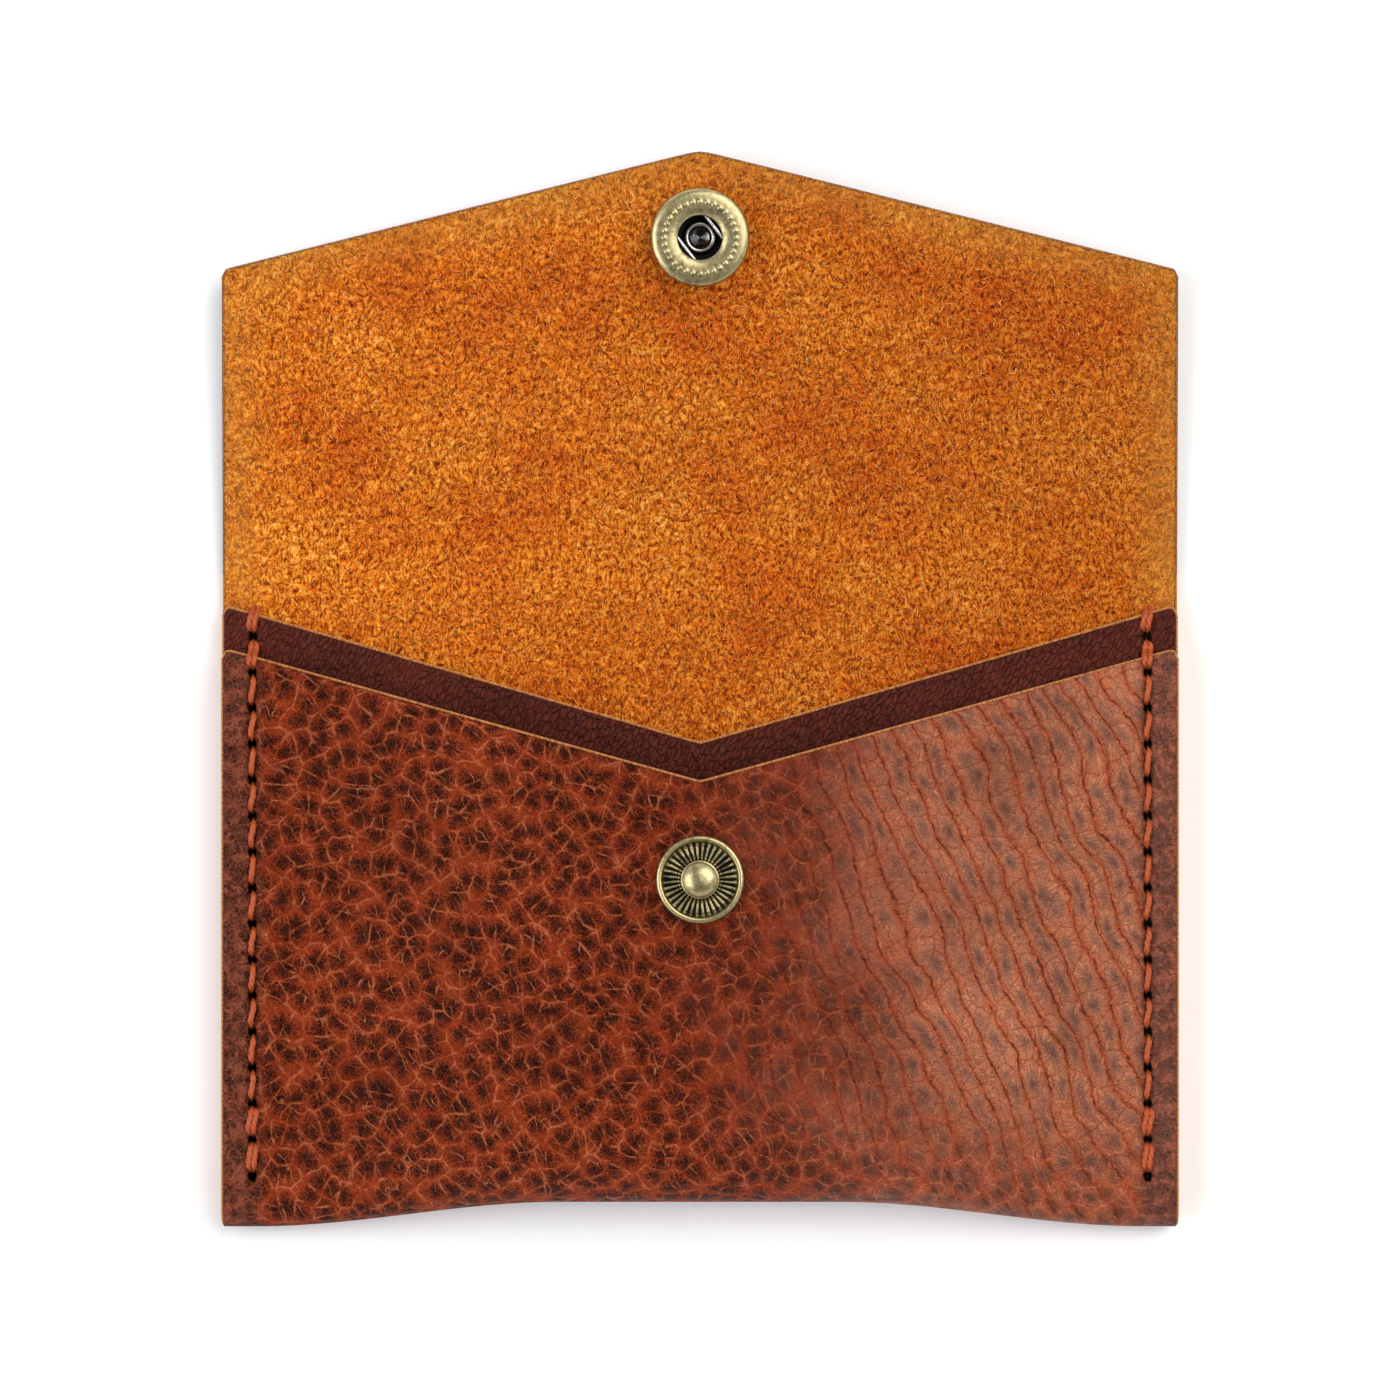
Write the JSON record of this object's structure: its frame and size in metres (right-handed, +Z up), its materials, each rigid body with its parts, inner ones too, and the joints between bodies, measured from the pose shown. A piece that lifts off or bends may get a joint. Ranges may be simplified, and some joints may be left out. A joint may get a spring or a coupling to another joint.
{
  "type": "envelope wallet",
  "caption": "Small leather envelope wallet with V-cut card pockets, a sewn-in divider and a pointed flap that closes with a snap.",
  "frame": {"origin": "under the middle of the open wallet's outline, on the surface that it lies on", "axes": "+X across the wallet, +Y from the bottom fold to the flap's point, +Z up out of the front panel"},
  "size_m": [0.108, 0.1218, 0.0147],
  "materials": {
    "grain_leather": "waxed pull-up",
    "divider_leather": "smooth satin",
    "flesh_leather": "suede flesh side",
    "thread": "twisted polyester",
    "antique_brass": "antique satin",
    "spring_steel": "drawn wire"
  },
  "bodies": {
    "pouch": {"pouch_leather": "grain_leather", "pocket_divider": "divider_leather", "left_needle_thread": "thread", "left_bobbin_thread": "thread", "right_needle_thread": "thread", "right_bobbin_thread": "thread", "snap_stud": "antique_brass", "stud_eyelet": "antique_brass"},
    "flap": {"flap_leather": "flesh_leather", "snap_cap": "antique_brass", "socket_ring": "antique_brass", "socket_plate": "antique_brass", "socket_spring": "spring_steel"}
  },
  "joints": [
    {"name": "flap_fold", "type": "hinge", "parent": "pouch", "child": "flap", "pos_m": [0, 0.01447, 0.00865], "axis": [1, 0, 0], "range_deg": [0, 176.16]}
  ]
}
